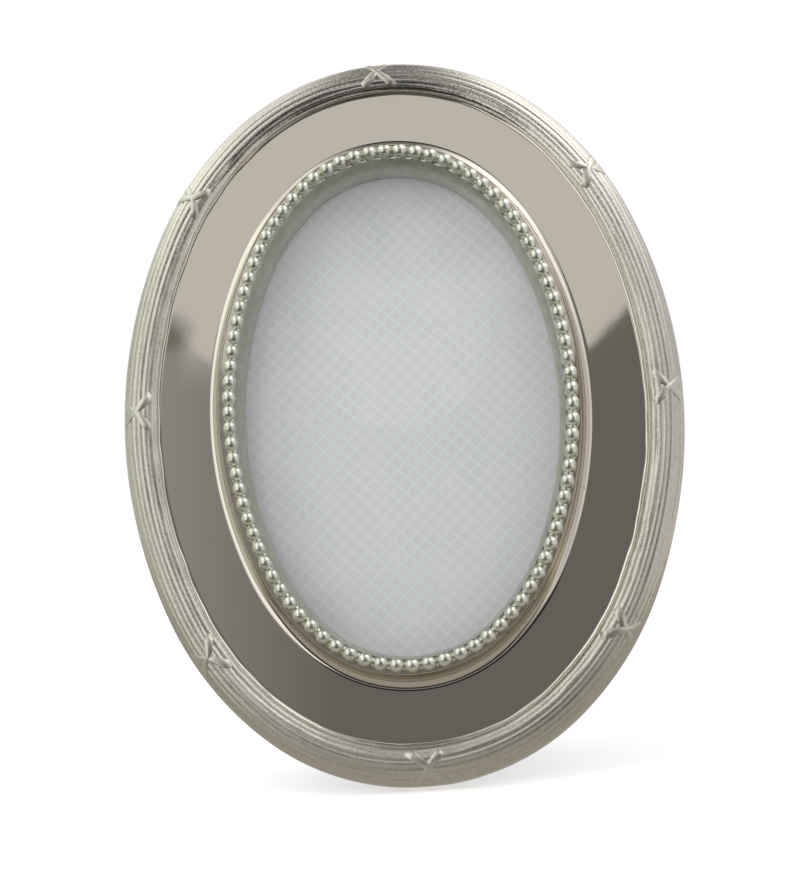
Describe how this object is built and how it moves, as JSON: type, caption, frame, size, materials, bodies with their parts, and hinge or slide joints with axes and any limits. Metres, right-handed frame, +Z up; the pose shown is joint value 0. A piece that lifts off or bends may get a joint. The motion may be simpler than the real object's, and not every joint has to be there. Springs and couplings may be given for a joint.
{
  "type": "oval picture frame",
  "caption": "Standing oval picture frame in plated cast metal, with a reeded rim tied by crossed ribbons, a beaded sight edge, glass, and a velvet back with a hinged strut.",
  "frame": {"origin": "on the table under the middle of the whole object's box", "axes": "+Z up, the glass faces -Y and leans back towards +Y, +X is the viewer's right"},
  "size_m": [0.165, 0.0803, 0.2133],
  "materials": {
    "plated_metal": "polished warm nickel plate on cast metal, lightly worn",
    "clear_glass": "clear float glass",
    "print_paper": "smooth pale paper with a faint lattice",
    "grey_card": "dense grey board",
    "back_velvet": "short-pile dark blue velvet",
    "satin_ribbon": "dark blue satin",
    "fitting_brass": "pressed brass, lightly brushed"
  },
  "bodies": {
    "frame": {"frame_casting": "plated_metal", "bead_border": "plated_metal", "glass_pane": "clear_glass", "print_insert": "print_paper", "backing_card": "grey_card", "button_washers": "fitting_brass", "button_screws": "fitting_brass"},
    "back": {"back_board": "grey_card", "back_velvet": "back_velvet", "panel_leaf": "fitting_brass", "panel_leaf_rivets": "fitting_brass", "panel_stay_rivet": "fitting_brass", "hinge_pin": "fitting_brass"},
    "strut": {"strut_board": "grey_card", "strut_velvet": "back_velvet", "strut_leaf": "fitting_brass", "strut_leaf_rivets": "fitting_brass", "strut_stay_rivet": "fitting_brass", "ribbon_stay": "satin_ribbon"},
    "button_1": {"turn_button_1": "fitting_brass"},
    "button_2": {"turn_button_2": "fitting_brass"},
    "button_3": {"turn_button_3": "fitting_brass"},
    "button_4": {"turn_button_4": "fitting_brass"}
  },
  "joints": [
    {"name": "back_lift", "type": "slide", "parent": "frame", "child": "back", "axis": [0, 0.9659, -0.2588], "range_m": [0, 0.04]},
    {"name": "strut_fold", "type": "hinge", "parent": "back", "child": "strut", "pos_m": [0, 0.01356, 0.14388], "axis": [1, 0, 0], "range_deg": [-25, 0], "deforming": ["ribbon_stay"]},
    {"name": "button_1_turn", "type": "hinge", "parent": "frame", "child": "button_1", "pos_m": [0.05569, 0.01749, 0.16868], "axis": [0, 0.9659, -0.2588], "continuous": true},
    {"name": "button_2_turn", "type": "hinge", "parent": "frame", "child": "button_2", "pos_m": [-0.05569, 0.01749, 0.16868], "axis": [0, 0.9659, -0.2588], "continuous": true},
    {"name": "button_3_turn", "type": "hinge", "parent": "frame", "child": "button_3", "pos_m": [-0.05569, -0.01639, 0.0422], "axis": [0, 0.9659, -0.2588], "continuous": true},
    {"name": "button_4_turn", "type": "hinge", "parent": "frame", "child": "button_4", "pos_m": [0.05569, -0.01639, 0.0422], "axis": [0, 0.9659, -0.2588], "continuous": true}
  ]
}
